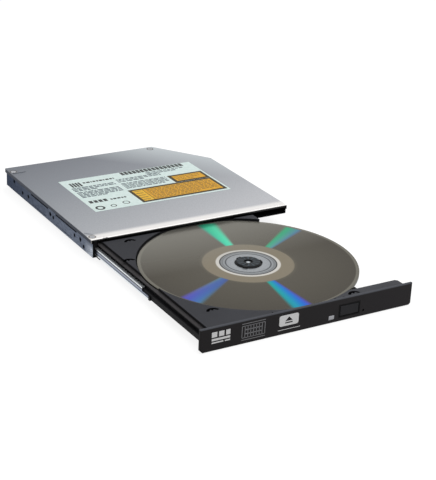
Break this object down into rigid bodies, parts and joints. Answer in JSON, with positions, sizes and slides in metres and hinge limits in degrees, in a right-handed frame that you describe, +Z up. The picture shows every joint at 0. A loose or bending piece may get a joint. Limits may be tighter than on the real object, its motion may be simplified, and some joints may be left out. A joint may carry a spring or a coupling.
{
  "type": "laptop disc drive",
  "caption": "Slim disc drive for a laptop, tray out: pressed steel case, sliding tray on telescoping rails, bezel with button, disc on a sprung hub over a diagonal pickup sled.",
  "frame": {"origin": "centre of the case's flat underside, tray out", "axes": "+X to the right seen from the bezel, +Y from the bezel towards the rear connector, +Z up"},
  "size_m": [0.128, 0.2478, 0.0129],
  "materials": {
    "cover_steel": "satin zinc-plated sheet",
    "pan_steel": "satin zinc-plated sheet",
    "rail_steel": "bright cold-rolled sheet",
    "dark_steel": "black coated sheet",
    "screw_steel": "bright screws",
    "rod_steel": "ground rods",
    "tray_plastic": "fine matt charcoal moulding",
    "guide_plastic": "smooth black moulding",
    "bezel_plastic": "fine matt black moulding",
    "disc_plastic": "mirror-backed clear plastic",
    "hub_plastic": "dark moulding",
    "rubber": "matt",
    "label_paper": "coated paper",
    "amber_paper": "coated paper",
    "board_green": "solder mask",
    "chip_black": "matt package",
    "socket_plastic": "ivory moulding",
    "cable_film": "satin film",
    "motor_steel": "satin",
    "winding": "enamelled wire",
    "sled_metal": "die-cast",
    "lens_glass": "coated",
    "lamp_plastic": "clear"
  },
  "bodies": {
    "case": {"base_pan": "pan_steel", "top_cover": "cover_steel", "cover_screws": "screw_steel", "label_sheet": "label_paper", "label_panels": "amber_paper", "left_guide": "guide_plastic", "right_guide": "guide_plastic", "latch_post": "rod_steel", "main_board": "board_green", "board_chips": "chip_black", "rear_connector": "chip_black", "board_flex_socket": "socket_plastic", "flex_cable": "cable_film"},
    "rail_left": {"left_rail": "rail_steel", "left_rail_stop": "guide_plastic"},
    "rail_right": {"right_rail": "rail_steel", "right_rail_stop": "guide_plastic"},
    "tray": {"tray_frame": "tray_plastic", "bezel": "bezel_plastic", "led_window": "lamp_plastic", "tray_board": "board_green", "eject_switch": "chip_black", "under_plate": "dark_steel", "traverse_chassis": "motor_steel", "chassis_dampers": "rubber", "guide_rods": "rod_steel", "sled_motor": "motor_steel", "spindle_base": "motor_steel", "spindle_bearing": "winding", "spindle_stator": "winding", "tray_flex_socket": "socket_plastic", "latch_pin": "rod_steel", "latch_magnet": "winding"},
    "button": {"eject_button": "bezel_plastic"},
    "spindle": {"spindle_rotor": "motor_steel", "turntable_pad": "rubber", "disc_hub": "hub_plastic", "hub_pawls": "hub_plastic", "disc": "disc_plastic"},
    "sled": {"pickup_sled": "sled_metal"},
    "lens_carrier": {"lens_holder": "hub_plastic", "lens": "lens_glass"},
    "screw": {"lead_screw": "rod_steel"},
    "latch": {"latch_lever": "dark_steel"}
  },
  "joints": [
    {"name": "tray_slide", "type": "slide", "parent": "case", "child": "tray", "axis": [0, 1, 0], "range_m": [0, 0.1196], "deforming": ["flex_cable"]},
    {"name": "rail_left_slide", "type": "slide", "parent": "case", "child": "rail_left", "axis": [0, 1, 0], "range_m": [0, 0.065]},
    {"name": "rail_right_slide", "type": "slide", "parent": "case", "child": "rail_right", "axis": [0, 1, 0], "range_m": [0, 0.065]},
    {"name": "button_press", "type": "slide", "parent": "tray", "child": "button", "axis": [0, 1, 0], "range_m": [0, 0.0008], "stiffness_N_per_m": 200},
    {"name": "disc_spin", "type": "hinge", "parent": "tray", "child": "spindle", "pos_m": [0.002, -0.12055, 0.0081], "axis": [0, 0, 1], "continuous": true},
    {"name": "sled_slide", "type": "slide", "parent": "tray", "child": "sled", "axis": [-0.7071, -0.7071, 0], "range_m": [0, 0.033]},
    {"name": "lens_focus", "type": "slide", "parent": "sled", "child": "lens_carrier", "axis": [0, 0, 1], "range_m": [-0.0004, 0.0004], "stiffness_N_per_m": 40},
    {"name": "screw_turn", "type": "hinge", "parent": "tray", "child": "screw", "pos_m": [-0.03194, -0.12196, 0.00365], "axis": [-0.7071, -0.7071, 0], "range_deg": [0, 3961]},
    {"name": "latch_turn", "type": "hinge", "parent": "tray", "child": "latch", "pos_m": [0.03, -0.16305, 0.0026], "axis": [0, 0, 1], "range_deg": [0, 18]}
  ],
  "couplings": [
    {"joint": "rail_left_slide", "follows": "tray_slide", "ratio": 0.54348},
    {"joint": "rail_right_slide", "follows": "tray_slide", "ratio": 0.54348},
    {"joint": "screw_turn", "follows": "sled_slide", "rad_per_m": 2094.4}
  ]
}
